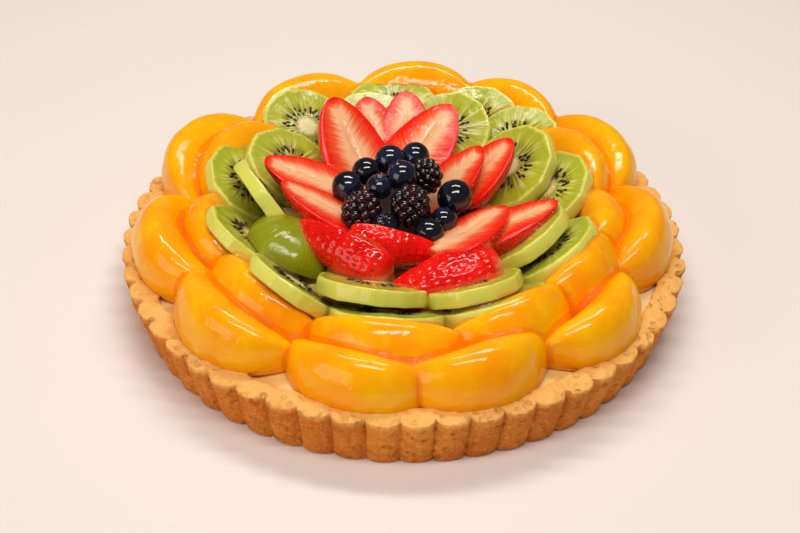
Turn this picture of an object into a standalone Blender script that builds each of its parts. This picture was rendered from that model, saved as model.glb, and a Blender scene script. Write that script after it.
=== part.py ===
"""Fruit tart: a fluted shortcrust shell, a bed of custard, and a rosette of cut fruit.

One object for each piece, in metres, +Z up. The origin is the middle of the crust's flat
underside, and the part stands on z = 0. The fruit lies like the petals of a flower: each
slice leans on the one inside it, outer edge up, with its cut face turned inwards.

Azimuths count from the front (-Y) towards +X. Lengths in the layout are millimetres.
"""

import math
from dataclasses import dataclass

import bmesh
import bpy
from mathutils import Matrix, Vector
from mathutils.bvhtree import BVHTree

MM = 0.001

# Crust: a 25 cm loose-bottomed tin's shape.
RIM_RADIUS = 125.0
FOOT_RADIUS = 118.0
CRUST_HEIGHT = 27.0
FLUTES = 55
FLUTE_DEPTH = 2.8
FLUTE_SIDES = 4
FOOT_FLUTE_SHARE = 0.6
LIP_DROP = 1.8
LIP_INSET = 3.0
WALL_INNER_TOP = 115.5
WALL_INNER_FOOT = 111.5
BASE_THICKNESS = 5.5

# Custard: level with the rim's inner lip at its edge and domed under the fruit.
CUSTARD_EDGE = 23.5
CUSTARD_DOME = 12.5
CUSTARD_DOME_POWER = 1.3
CUSTARD_RINGS = 3
CUSTARD_SIDES = 36

# The gap that touching pieces keep, the length under which a cut's needle edges are
# merged, and the degrees within which a cut's facets count as flat.
CLEARANCE = 0.5
NEEDLE = 0.05
FLAT_WITHIN = 2.0

# Fruit sizes at scale 1: canned peach segments, peeled kiwi, halved strawberries, berries.
PEACH_LENGTH = 62.0
PEACH_RADIUS = 33.0
PEACH_HALF_ANGLE = 29.0
PEACH_STATIONS = (-72, -38, 0, 38, 72)
PEACH_FULLNESS = 0.8
PEACH_CORNER_ROUNDING = 0.95
PEACH_MIDDLE = 0.66
PEACH_TIP_REACH = 0.495
PEACH_TIP_DEPTH = 6.0
PEACH_PIT = 0.36
PEACH_PIT_LENGTH = 0.68
PEACH_THIN_EDGE = 0.05
KIWI_RADIUS = 21.0
KIWI_THICKNESS = 6.4
KIWI_RIM_SHARE = 0.96
KIWI_END_HEIGHT = 15.0
KIWI_END_MIDDLE = 0.4
KIWI_SIDES = 14
STRAWBERRY_LENGTH = 40.0
STRAWBERRY_WIDTH = 29.0
STRAWBERRY_DEPTH = 12.0
STRAWBERRY_FACE_HEIGHT = 0.3
STRAWBERRY_STATIONS = (0.05, 0.24, 0.5, 0.74, 0.93)
STRAWBERRY_BACK_STEPS = 5
BLUEBERRY_RADIUS = 6.6
BRAMBLE_RADIUS = 8.6
BRAMBLE_LENGTHENING = 1.12
BRAMBLE_ROW_ANGLES = (-60, -30, 0, 30, 60)
BRAMBLE_SIDES = 12
BRAMBLE_BUMP = 0.06

COLOURS = {
    "crust": ((0.80, 0.46, 0.20, 1.0), 0.85),
    "custard": ((0.93, 0.80, 0.47, 1.0), 0.45),
    "peach": ((1.0, 0.45, 0.03, 1.0), 0.12),
    "kiwi": ((0.42, 0.55, 0.09, 1.0), 0.15),
    "strawberry": ((0.80, 0.03, 0.02, 1.0), 0.15),
    "blueberry": ((0.02, 0.03, 0.09, 1.0), 0.20),
    "bramble": ((0.02, 0.01, 0.02, 1.0), 0.15),
}


@dataclass(frozen=True)
class Lay:
    """Where a piece of fruit lies: millimetres and degrees.

    tilt raises the outer end, turn swings the piece about its own upright, wide stretches
    it across, and swing is how far the raised end points past the azimuth.
    """

    name: str
    azimuth: float
    radius: float
    height: float
    tilt: float = 30.0
    turn: float = 0.0
    size: float = 1.0
    wide: float = 1.0
    swing: float = 0.0

    def matrix(self):
        """The piece's pose: +Y outwards, +Z the upper face, in metres."""
        turn = math.radians(180.0 + self.azimuth)
        spot = Vector((-math.sin(turn), math.cos(turn), 0.0)) * self.radius
        spot.z = self.height
        return (
            Matrix.Translation(spot * MM)
            @ Matrix.Rotation(turn + math.radians(self.swing), 4, "Z")
            @ Matrix.Rotation(math.radians(self.tilt), 4, "X")
            @ Matrix.Rotation(math.radians(self.turn), 4, "Z")
            @ Matrix.Diagonal((self.size * self.wide * MM, self.size * MM, self.size * MM, 1.0))
        )


OUTER_PEACHES = (
    Lay("peach_outer_01", 349, 105, 30.5, tilt=18, turn=-10, size=1.05),
    Lay("peach_outer_02", 19, 104, 31.5, tilt=18, turn=10, size=1.12),
    Lay("peach_outer_03", 52, 106, 32, tilt=16, turn=6),
    Lay("peach_outer_04", 85, 105, 34, tilt=14, turn=-4, size=1.1),
    Lay("peach_outer_05", 122, 108, 33, tilt=12, turn=-4, size=1.05),
    Lay("peach_outer_06", 151, 108, 34, tilt=12, turn=-6),
    Lay("peach_outer_07", 177, 109, 35, tilt=12, size=1.05),
    Lay("peach_outer_08", 208, 107, 34, tilt=12, turn=4, size=1.05),
    Lay("peach_outer_09", 243, 108, 34, tilt=12, size=1.1),
    Lay("peach_outer_10", 283, 106, 34, tilt=14, turn=4, size=1.08),
    Lay("peach_outer_11", 313, 105, 33, tilt=14, turn=-8, size=1.1),
)

INNER_PEACHES = (
    Lay("peach_inner_01", 355, 90, 35.5, tilt=28, turn=-4, size=1.08),
    Lay("peach_inner_02", 34, 88, 36, tilt=28, turn=6, size=1.04),
    Lay("peach_inner_03", 62, 87, 38, tilt=28),
    Lay("peach_inner_04", 84, 87, 38, tilt=24, size=0.9),
    Lay("peach_inner_05", 117, 89, 38, tilt=20),
    Lay("peach_inner_06", 243, 89, 38, tilt=20),
    Lay("peach_inner_07", 281, 87, 38, tilt=24, size=0.87),
    Lay("peach_inner_08", 313, 88, 36.5, tilt=28, turn=-6),
)

OUTER_KIWIS = (
    Lay("kiwi_outer_01", 355, 71, 35.5, tilt=32, size=1.12),
    Lay("kiwi_outer_02", 31, 72, 36, tilt=34, size=1.1),
    Lay("kiwi_outer_03", 66, 70, 39, tilt=40, size=1.05),
    Lay("kiwi_outer_04", 105, 68, 39, tilt=36),
    Lay("kiwi_outer_05", 139, 79, 37, tilt=28),
    Lay("kiwi_outer_06", 157, 82, 37, tilt=26, size=1.05),
    Lay("kiwi_outer_07", 184, 88, 36, tilt=16, size=1.05),
    Lay("kiwi_outer_08", 216, 81, 39, tilt=34),
    Lay("kiwi_outer_09", 255, 74, 38.5, tilt=36),
    Lay("kiwi_outer_10", 290, 71, 39, tilt=42, swing=5),
    Lay("kiwi_outer_11", 321, 73, 40, tilt=46, swing=-12),
)

INNER_KIWIS = (
    Lay("kiwi_inner_01", 348, 58, 39.5, tilt=31, size=1.12),
    Lay("kiwi_inner_02", 28, 61, 39.5, tilt=31, size=1.05),
    Lay("kiwi_inner_03", 66, 57, 42, tilt=40),
    Lay("kiwi_inner_04", 121, 57, 43, tilt=40, size=1.02),
    Lay("kiwi_inner_05", 162, 63, 42, tilt=30),
    Lay("kiwi_inner_06", 193, 65, 41, tilt=22),
    Lay("kiwi_inner_07", 241, 60, 41, tilt=30),
    Lay("kiwi_inner_08", 271, 60, 43, tilt=62, swing=25),
)

KIWI_END = Lay("kiwi_end", 300, 53, 41, tilt=30)

STRAWBERRIES = (
    Lay("strawberry_01", 17, 57, 42, tilt=125, turn=-97, size=1.28, wide=0.7),
    Lay("strawberry_02", 47, 40, 47, tilt=20, turn=92, size=1.12),
    Lay("strawberry_03", 67, 51, 46, tilt=26, turn=30, size=1.1),
    Lay("strawberry_04", 121, 27, 47, tilt=38, size=0.92),
    Lay("strawberry_05", 118, 41, 48, tilt=38, size=0.92),
    Lay("strawberry_06", 168, 45, 45.5, tilt=38, turn=-25, size=1.1),
    Lay("strawberry_07", 180, 56, 44, tilt=38),
    Lay("strawberry_08", 196, 55, 42.5, tilt=38),
    Lay("strawberry_09", 214, 46, 47.5, tilt=40, size=1.17),
    Lay("strawberry_10", 258, 46, 48, tilt=22, turn=8, size=0.97),
    Lay("strawberry_11", 287, 39, 48, tilt=26, turn=-28, size=0.97),
    Lay("strawberry_12", 326, 47, 45.5, tilt=72, turn=-84, size=1.2, wide=0.72),
    Lay("strawberry_13", 354, 39, 47.5, tilt=74, turn=100, size=0.98, wide=0.75),
)

BRAMBLES = (
    Lay("bramble_01", 315, 26, 52, tilt=30, size=1.0),
    Lay("bramble_02", 8, 18, 55, tilt=40, size=1.0),
    Lay("bramble_03", 117, 10, 55, tilt=10, size=0.9),
)

BLUEBERRY_CLUSTERS = {
    "blueberries_back": (
        Lay("", 267, 25, 51, size=1.05),
        Lay("", 239, 20, 53, size=0.97),
        Lay("", 202, 18, 55, size=1.05),
        Lay("", 169, 22, 54),
    ),
    "blueberries_right": (
        Lay("", 70, 23, 53, size=1.2),
        Lay("", 40, 26, 49, size=0.95),
        Lay("", 20, 31, 49),
    ),
    "blueberries_top": (
        Lay("", 332, 3, 60, size=1.05),
        Lay("", 308, 14, 58, size=0.87),
    ),
}


def material(name):
    """The Principled material of one kind of food, made once."""
    made = bpy.data.materials.get(name)
    if made is None:
        colour, roughness = COLOURS[name]
        made = bpy.data.materials.new(name)
        made.use_nodes = True
        shader = made.node_tree.nodes["Principled BSDF"]
        shader.inputs["Base Color"].default_value = colour
        shader.inputs["Roughness"].default_value = roughness
        made.diffuse_color = colour
    return made


def loft(rings, start=None, end=None):
    """A closed skin through rings of points, closed by a point beyond each end ring.

    Each ring runs anticlockwise seen from the end point, and the rings run from start
    to end.
    """
    shape = bmesh.new()
    rows = [[shape.verts.new(point) for point in ring] for ring in rings]
    for lower, upper in zip(rows, rows[1:]):
        for left, right in zip(range(len(lower)), [*range(1, len(lower)), 0]):
            shape.faces.new((lower[left], lower[right], upper[right], upper[left]))
    for row, tip, flip in ((rows[0], start, True), (rows[-1], end, False)):
        if tip is None:
            shape.faces.new(reversed(row) if flip else row)
            continue
        point = shape.verts.new(tip)
        for left, right in zip(range(len(row)), [*range(1, len(row)), 0]):
            corners = (row[left], row[right], point)
            shape.faces.new(reversed(corners) if flip else corners)
    return shape


def finish(shape, name, slot, matrix=None):
    """Turn a bmesh into a smooth-shaded object with its material, and return the object."""
    if matrix is not None:
        shape.transform(matrix)
    bmesh.ops.recalc_face_normals(shape, faces=shape.faces)
    bmesh.ops.triangulate(shape, faces=shape.faces)
    mesh = bpy.data.meshes.new(name)
    shape.to_mesh(mesh)
    shape.free()
    mesh.materials.append(material(slot))
    mesh.shade_smooth()
    mesh.set_sharp_from_angle(angle=math.radians(40))
    made = bpy.data.objects.new(name, mesh)
    bpy.context.scene.collection.objects.link(made)
    return made


def circle(count, radius_at, height):
    """Points round the Z axis, anticlockwise from the front, in millimetres."""
    angles = [math.tau * step / count for step in range(count)]
    return [Vector((radius_at(a) * math.sin(a), -radius_at(a) * math.cos(a), height)) for a in angles]


def rib(angle):
    """How far the flutes reach at an angle: 1 on a rib's crest and 0 in its groove."""
    return abs(math.sin(angle * FLUTES / 2))


def crust():
    """The shell: flat underside, flared fluted wall, soft rim and plain inside."""
    outline = (
        (FOOT_RADIUS, 0.0, FOOT_FLUTE_SHARE),
        (RIM_RADIUS, CRUST_HEIGHT - LIP_DROP, 1.0),
        (RIM_RADIUS - LIP_INSET, CRUST_HEIGHT, FOOT_FLUTE_SHARE),
        (WALL_INNER_TOP, CRUST_HEIGHT - LIP_DROP, 0.0),
        (WALL_INNER_FOOT, BASE_THICKNESS, 0.0),
    )
    rings = []
    for radius, height, share in outline:
        depth = FLUTE_DEPTH * share
        rings.append(circle(FLUTES * FLUTE_SIDES, lambda a, r=radius, d=depth: r - d * (1 - rib(a)), height))
    return finish(loft(rings), "crust", "crust", Matrix.Scale(MM, 4))


def custard_height(radius):
    """Height of the custard's domed top at a radius."""
    share = min(1.0, radius / WALL_INNER_TOP)
    return CUSTARD_EDGE + CUSTARD_DOME * (1 - share ** 2) ** CUSTARD_DOME_POWER


def custard():
    """The custard that fills the shell, from its base to the domed top."""
    foot = BASE_THICKNESS + CLEARANCE
    slope = (WALL_INNER_TOP - WALL_INNER_FOOT) / (CRUST_HEIGHT - LIP_DROP - BASE_THICKNESS)
    edge = WALL_INNER_FOOT - CLEARANCE + slope * (CUSTARD_EDGE - BASE_THICKNESS)
    rings = [circle(CUSTARD_SIDES, lambda _: WALL_INNER_FOOT - CLEARANCE, foot)]
    for step in range(CUSTARD_RINGS):
        radius = edge * (1 - step / CUSTARD_RINGS)
        rings.append(circle(CUSTARD_SIDES, lambda _, r=radius: r, custard_height(radius)))
    top = Vector((0.0, 0.0, custard_height(0.0)))
    shape = loft(rings, end=top)
    return finish(shape, "custard", "custard", Matrix.Scale(MM, 4))


def peach(lay):
    """A peach segment: rounded skin outwards, two flat cuts, and the stone's hollow inside."""
    half = math.radians(PEACH_HALF_ANGLE)
    middle = PEACH_RADIUS * PEACH_MIDDLE
    rings = []
    for degrees in PEACH_STATIONS:
        lean = math.radians(degrees)
        along = PEACH_LENGTH / 2 * math.sin(lean)
        skin = PEACH_RADIUS * math.cos(lean) ** PEACH_FULLNESS
        edge = skin * PEACH_CORNER_ROUNDING
        hollow = max(0.0, 1 - (math.sin(lean) / PEACH_PIT_LENGTH) ** 2) ** 0.5
        inner = PEACH_RADIUS * max(PEACH_THIN_EDGE, PEACH_PIT * hollow)
        section = ((inner, -0.9), (edge, -1.0), (skin, -0.5), (skin, 0.0), (skin, 0.5), (edge, 1.0), (inner, 0.9))
        rings.append([Vector((along, r * math.cos(half * side) - middle, r * math.sin(half * side)))
                      for r, side in section])
    tips = [Vector((side * PEACH_LENGTH * PEACH_TIP_REACH, PEACH_TIP_DEPTH - middle, 0.0)) for side in (-1, 1)]
    return finish(loft(rings, *tips), lay.name, "peach", lay.matrix())


def kiwi(lay):
    """A peeled kiwi slice: a flat round disc with a slightly bulging rind edge."""
    half = KIWI_THICKNESS / 2
    outline = ((KIWI_RIM_SHARE, -half), (1.0, 0.0), (KIWI_RIM_SHARE, half))
    rings = [circle(KIWI_SIDES, lambda _, s=share: KIWI_RADIUS * s, height) for share, height in outline]
    shape = loft(rings, Vector((0, 0, -half)), Vector((0, 0, half)))
    return finish(shape, lay.name, "kiwi", lay.matrix())


def kiwi_end(lay):
    """The rounded end of a kiwi, cut face down."""
    sunk = -KIWI_END_MIDDLE * KIWI_END_HEIGHT
    rings = []
    for degrees in (0, 25, 50):
        lean = math.radians(degrees)
        radius = KIWI_RADIUS * math.cos(lean)
        rings.append(circle(KIWI_SIDES, lambda _, r=radius: r, sunk + KIWI_END_HEIGHT * math.sin(lean)))
    base = Vector((0, 0, sunk))
    top = Vector((0, 0, sunk + KIWI_END_HEIGHT))
    return finish(loft(rings, base, top), lay.name, "kiwi", lay.matrix())


def strawberry_width(share):
    """Share of the full width along a strawberry, from 0 at the stalk end to 1 at the tip."""
    return 1.585 * (1 - share) ** 0.55 * share ** 0.22


def strawberry(lay):
    """Half a strawberry: flat cut face up, rounded back below, tip outwards."""
    face = STRAWBERRY_FACE_HEIGHT * STRAWBERRY_DEPTH
    back = [math.pi * (1 + step / STRAWBERRY_BACK_STEPS) for step in range(STRAWBERRY_BACK_STEPS + 1)]
    rings = []
    for share in STRAWBERRY_STATIONS:
        reach = strawberry_width(share)
        along = STRAWBERRY_LENGTH * (share - 0.5)
        rings.append([Vector((STRAWBERRY_WIDTH / 2 * reach * math.cos(angle), along,
                              STRAWBERRY_DEPTH * reach * math.sin(angle) + face)) for angle in back])
    ends = [Vector((0, STRAWBERRY_LENGTH * side / 2, 0.0)) for side in (-1, 1)]
    return finish(loft(rings, *ends), lay.name, "strawberry", lay.matrix())


def berry_ball(radius, lay):
    """A faceted ball at a berry's place."""
    shape = bmesh.new()
    bmesh.ops.create_icosphere(shape, subdivisions=2, radius=radius)
    shape.transform(lay.matrix())
    return shape


def bramble(lay):
    """A bramble: an egg-shaped fruit with rows of rounded drupelets."""
    half = BRAMBLE_RADIUS * BRAMBLE_LENGTHENING
    rings = []
    for row, degrees in enumerate(BRAMBLE_ROW_ANGLES):
        lean = math.radians(degrees)
        ring = []
        for step in range(BRAMBLE_SIDES):
            angle = math.tau * (step + 0.5 * (row % 2)) / BRAMBLE_SIDES
            bump = BRAMBLE_BUMP if step % 2 else -BRAMBLE_BUMP
            reach = BRAMBLE_RADIUS * math.cos(lean) * (1 + bump)
            ring.append(Vector((reach * math.cos(angle), reach * math.sin(angle), half * math.sin(lean))))
        rings.append(ring)
    ends = [Vector((0, 0, side * half)) for side in (-1, 1)]
    return finish(loft(rings, *ends), lay.name, "bramble", lay.matrix())


def swollen(piece, amount):
    """A hidden copy of a piece, grown by an amount, to cut its neighbours with."""
    grown = piece.copy()
    grown.data = piece.data.copy()
    grown.name = "cutter_" + piece.name
    for vertex in grown.data.vertices:
        vertex.co += piece.data.vertices[vertex.index].normal * amount
    grown.hide_render = True
    grown.display_type = "WIRE"
    bpy.context.scene.collection.objects.link(grown)
    return grown


def surface_tree(piece):
    """A search tree of a piece's triangles."""
    points = [vertex.co.copy() for vertex in piece.data.vertices]
    return BVHTree.FromPolygons(points, [tuple(face.vertices) for face in piece.data.polygons])


def islands(shape):
    """The separate bodies of a bmesh, each a list of faces that meet along edges."""
    unseen = set(shape.faces)
    found = []
    while unseen:
        front = [unseen.pop()]
        island = list(front)
        while front:
            for edge in front.pop().edges:
                for face in edge.link_faces if len(edge.link_faces) == 2 else ():
                    if face in unseen:
                        unseen.discard(face)
                        island.append(face)
                        front.append(face)
        found.append(island)
    return found


def tidy_cut(mesh):
    """Merge a cut mesh's needle edges and flat patches, and keep its largest body."""
    shape = bmesh.new()
    shape.from_mesh(mesh)
    bmesh.ops.remove_doubles(shape, verts=shape.verts, dist=NEEDLE * MM)
    bmesh.ops.dissolve_degenerate(shape, edges=shape.edges, dist=NEEDLE * MM)
    flat = math.radians(FLAT_WITHIN)
    bmesh.ops.dissolve_limit(shape, angle_limit=flat, verts=shape.verts, edges=shape.edges)
    bmesh.ops.triangulate(shape, faces=shape.faces)
    bodies = sorted(islands(shape), key=lambda body: sum(face.calc_area() for face in body))
    for body in bodies[:-1]:
        bmesh.ops.delete(shape, geom=body, context="FACES")
    shape.to_mesh(mesh)
    shape.free()


def apply_booleans(piece, others, operation):
    """Cut or join a piece with others through Boolean modifiers, and keep the result."""
    for other in others:
        step = piece.modifiers.new(operation.lower(), "BOOLEAN")
        step.operation = operation
        step.object = other
        step.use_self = True
    graph = bpy.context.evaluated_depsgraph_get()
    mesh = bpy.data.meshes.new_from_object(piece.evaluated_get(graph))
    piece.modifiers.clear()
    tidy_cut(mesh)
    piece.data = mesh


def blueberry_cluster(name, lays):
    """Blueberries that press on each other, joined where they touch."""
    balls = [finish(berry_ball(BLUEBERRY_RADIUS, lay), f"ball_{index}", "blueberry")
             for index, lay in enumerate(lays)]
    first = balls[0]
    first.name = name
    apply_booleans(first, balls[1:], "UNION")
    for ball in balls[1:]:
        bpy.data.objects.remove(ball)
    return first


def settle(pieces):
    """Trim each piece clear of those before it in the list, so that no two overlap."""
    trees = [surface_tree(piece) for piece in pieces]
    cutters = [swollen(piece, CLEARANCE * MM) for piece in pieces]
    for index, piece in enumerate(pieces):
        near = [cutters[other] for other in range(index) if trees[index].overlap(trees[other])]
        if near:
            apply_booleans(piece, near, "DIFFERENCE")
    for cutter in cutters:
        bpy.data.objects.remove(cutter)


def main():
    """Build the tart: crust and custard first, then the fruit from the middle outwards."""
    for old in list(bpy.data.objects):
        bpy.data.objects.remove(old)
    pieces = [crust(), custard()]
    pieces += [bramble(lay) for lay in BRAMBLES]
    pieces += [blueberry_cluster(name, lays) for name, lays in BLUEBERRY_CLUSTERS.items()]
    pieces += [strawberry(lay) for lay in STRAWBERRIES]
    pieces += [kiwi(lay) for lay in INNER_KIWIS]
    pieces.append(kiwi_end(KIWI_END))
    pieces += [kiwi(lay) for lay in OUTER_KIWIS]
    pieces += [peach(lay) for lay in INNER_PEACHES]
    pieces += [peach(lay) for lay in OUTER_PEACHES]
    settle(pieces)


if __name__ == "__main__":
    main()
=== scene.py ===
"""The looks of a whole fruit tart: a fluted crust, custard and a rosette of glazed fruit.

Each piece of fruit is a class that builds its own mesh at its true size and dresses it, in
the place that its solid holds. A fruit's own axes are +Y outwards and +Z out of its upper
face, in millimetres. Azimuths count from the front (-Y) towards +X, in degrees.
"""

import itertools
import logging
import math
from dataclasses import dataclass, field
from enum import Enum
from typing import Any

import bmesh
import bpy
import numpy as np
from mathutils import Matrix, Vector
from mathutils.bvhtree import BVHTree

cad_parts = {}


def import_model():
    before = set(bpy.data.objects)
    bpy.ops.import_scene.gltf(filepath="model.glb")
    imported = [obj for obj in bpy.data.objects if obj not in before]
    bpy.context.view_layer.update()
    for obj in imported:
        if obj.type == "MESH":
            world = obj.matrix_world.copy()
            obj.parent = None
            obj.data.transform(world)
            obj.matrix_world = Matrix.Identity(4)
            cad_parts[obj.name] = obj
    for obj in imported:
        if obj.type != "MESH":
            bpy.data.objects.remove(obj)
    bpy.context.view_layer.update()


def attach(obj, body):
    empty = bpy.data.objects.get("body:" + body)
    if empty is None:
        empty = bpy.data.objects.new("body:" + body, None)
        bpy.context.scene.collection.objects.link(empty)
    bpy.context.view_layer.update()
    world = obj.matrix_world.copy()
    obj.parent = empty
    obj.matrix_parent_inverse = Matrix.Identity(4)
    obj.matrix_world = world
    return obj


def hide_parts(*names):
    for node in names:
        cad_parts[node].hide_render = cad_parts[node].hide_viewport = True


LOG = logging.getLogger("tart")
MM = 0.001
BODY = "root"

Material = bpy.types.Material
Piece = bpy.types.Object
Faces = list[tuple[int, ...]]
Tone = tuple[float, ...]
Sizes = tuple[tuple[float, float], ...]
Triple = tuple[float, float, float]


def tone(red: int, green: int, blue: int) -> Tone:
    """Work out a linear colour with full alpha.

    Args:
        red: Display value of red, from 0 to 255.
        green: Display value of green.
        blue: Display value of blue.

    Returns:
        The four parts of the colour.
    """
    parts = [value / 255 for value in (red, green, blue)]
    linear = [part / 12.92 if part <= 0.04045 else ((part + 0.055) / 1.055) ** 2.4 for part in parts]
    return (linear[0], linear[1], linear[2], 1.0)


# ---- shader maths


@dataclass
class Link:
    """A node's output that can be used in sums, as a number or a colour."""

    paint: "Paint"
    socket: bpy.types.NodeSocket

    def _sum(self, operation: str, first: Any, second: Any) -> "Link":
        """Add a Math node for two values."""
        return self.paint.node("ShaderNodeMath", {"operation": operation}, {0: first, 1: second})

    def __add__(self, other: Any) -> "Link":
        """This value plus another."""
        return self._sum("ADD", self, other)

    def __sub__(self, other: Any) -> "Link":
        """This value less another."""
        return self._sum("SUBTRACT", self, other)

    def __rsub__(self, other: Any) -> "Link":
        """Another value less this one."""
        return self._sum("SUBTRACT", other, self)

    def __mul__(self, other: Any) -> "Link":
        """This value times another."""
        return self._sum("MULTIPLY", self, other)

    def size(self) -> "Link":
        """This value without its sign."""
        return self._sum("ABSOLUTE", self, 0.0)

    def within(self, low: float, high: float) -> "Link":
        """Step softly with this value.

        Args:
            low: The value at which the step is 0.
            high: The value at which the step is 1, which may be the smaller one.

        Returns:
            The step, from 0 to 1.
        """
        return self.paint.node(
            "ShaderNodeMapRange",
            {"interpolation_type": "SMOOTHSTEP"},
            {"Value": self, "From Min": low, "From Max": high},
        )

    __radd__ = __add__
    __rmul__ = __mul__


class Paint:
    """A Principled material and the nodes that vary its colour, roughness and relief."""

    POOL_SCALE = 70.0
    WAVE_SCALE = 120.0
    RIPPLE_SCALE = 420.0
    WAVE_HEIGHT = 0.0009
    WAVE_STRENGTH = 0.6

    def __init__(self, name: str, **constants: Any) -> None:
        """Start a material.

        Args:
            name: The material's name.
            constants: Values for the shader's own sockets, with _ for a space.
        """
        self.material = bpy.data.materials.new(name)
        self.material.use_nodes = True
        self.tree = self.material.node_tree
        self.shader = self.tree.nodes["Principled BSDF"]
        for key, value in constants.items():
            self.shader.inputs[key.replace("_", " ")].default_value = value

    def node(self, kind: str, settings: dict[str, Any] | None = None,
             sockets: dict[Any, Any] | None = None, output: Any = 0) -> Link:
        """Add a node.

        Args:
            kind: The node's type.
            settings: Properties, which are set first.
            sockets: Values or links of its inputs, by name or place.
            output: The output to hand back, by name or place.

        Returns:
            A link from the chosen output.
        """
        made = self.tree.nodes.new(kind)
        for key, value in (settings or {}).items():
            setattr(made, key, value)
        for key, value in (sockets or {}).items():
            if isinstance(value, Link):
                self.tree.links.new(value.socket, made.inputs[key])
            else:
                made.inputs[key].default_value = value
        return Link(self, made.outputs[output])

    def own(self) -> Link:
        """The fruit's own coordinates, in millimetres."""
        return self.node("ShaderNodeAttribute", {"attribute_name": "own"}, output="Vector")

    def number(self, name: str) -> Link:
        """A number stored on the mesh."""
        return self.node("ShaderNodeAttribute", {"attribute_name": name}, output="Fac")

    def place(self) -> Link:
        """The place on the tart, in metres."""
        return self.node("ShaderNodeTexCoord", output="Object")

    def axes(self, vector: Link) -> list[Link]:
        """A vector's X, Y and Z."""
        split = self.node("ShaderNodeSeparateXYZ", sockets={0: vector}).socket.node
        return [Link(self, output) for output in split.outputs]

    def vector(self, x: Any, y: Any, z: Any) -> Link:
        """A vector from three values."""
        return self.node("ShaderNodeCombineXYZ", sockets={0: x, 1: y, 2: z})

    def reach(self) -> Link:
        """Distance from the tart's upright axis, in metres."""
        x, y, _ = self.axes(self.place())
        return self.node("ShaderNodeVectorMath", {"operation": "LENGTH"}, {0: self.vector(x, y, 0.0)},
                         output="Value")

    def noise(self, vector: Link, scale: float, detail: float = 3.0, roughness: float = 0.5,
              distortion: float = 0.0) -> Link:
        """Smooth noise from 0 to 1 over a vector."""
        return self.node(
            "ShaderNodeTexNoise",
            sockets={"Vector": vector, "Scale": scale, "Detail": detail, "Roughness": roughness,
                     "Distortion": distortion},
        )

    def cells(self, vector: Link, scale: float) -> Link:
        """Distance to the nearest of scattered points."""
        return self.node("ShaderNodeTexVoronoi", sockets={"Vector": vector, "Scale": scale},
                         output="Distance")

    def blend(self, factor: Any, first: Any, second: Any) -> Link:
        """Mix two colours, all of the first at 0 and all of the second at 1."""
        return self.node("ShaderNodeMix", {"data_type": "RGBA"}, {0: factor, 6: first, 7: second}, output=2)

    def ramp(self, factor: Link, stops: list[tuple[float, Tone]]) -> Link:
        """Add a colour ramp.

        Args:
            factor: The value that picks the colour.
            stops: A value and its colour for each stop.

        Returns:
            The colour.
        """
        made = self.node("ShaderNodeValToRGB", sockets={0: factor})
        ramp = made.socket.node.color_ramp
        while len(ramp.elements) < len(stops):
            ramp.elements.new(0.5)
        for element, (spot, colour) in zip(ramp.elements, stops):
            element.position = spot
            element.color = colour
        return made

    def feed(self, socket: str, value: Link) -> None:
        """Link a value to one of the shader's sockets."""
        self.tree.links.new(value.socket, self.shader.inputs[socket])

    def relief(self, height: Link, distance: float, strength: float = 1.0) -> None:
        """Raise the surface by a height of 0 to 1 times a distance in metres."""
        self.feed("Normal", self.node(
            "ShaderNodeBump", sockets={"Strength": strength, "Distance": distance, "Height": height}))

    def wet(self, smooth: float, dull: float, grain: Any = 0.0) -> None:
        """Give the surface a coat of glaze: wavy, and glossier in some places than others.

        Args:
            smooth: Roughness where the glaze lies thick.
            dull: Roughness where it is thin.
            grain: A further height of 0 to 1 under the glaze.
        """
        place = self.place()
        pools = self.noise(place, self.POOL_SCALE, 2.0)
        self.feed("Roughness", pools.within(0.35, 0.7) * (dull - smooth) + smooth)
        waves = self.noise(place, self.WAVE_SCALE, 2.0, 0.5, 0.6)
        ripples = self.noise(place, self.RIPPLE_SCALE, 2.0, 0.5, 0.4)
        self.relief(waves * 0.7 + ripples * 0.2 + grain, self.WAVE_HEIGHT, self.WAVE_STRENGTH)


# ---- mesh making


class Unevenness:
    """Smooth, repeatable unevenness in space, from a table of random values."""

    SIZE = 32

    def __init__(self, seed: int) -> None:
        """Fill the table from a seed."""
        self.table = np.random.default_rng(seed).uniform(-1.0, 1.0, (self.SIZE,) * 3)

    def at(self, points: np.ndarray, wavelength: float) -> np.ndarray:
        """The unevenness at points.

        Args:
            points: Places, one row of three numbers each.
            wavelength: Size of a lump, in the points' units.

        Returns:
            One number from -1 to 1 for each point.
        """
        scaled = points / wavelength
        cell = np.floor(scaled).astype(int)
        part = scaled - cell
        fade = part * part * (3 - 2 * part)
        total = np.zeros(len(points))
        for corner in itertools.product((0, 1), repeat=3):
            index = (cell + corner) % self.SIZE
            weight = np.prod(np.where(corner, fade, 1 - fade), axis=1)
            total += weight * self.table[index[:, 0], index[:, 1], index[:, 2]]
        return total

    def mixed(self, points: np.ndarray, sizes: Sizes) -> np.ndarray:
        """The sum of unevenness of several sizes, each an amount and a wavelength."""
        return sum(amount * self.at(points, wavelength) for amount, wavelength in sizes)


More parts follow.
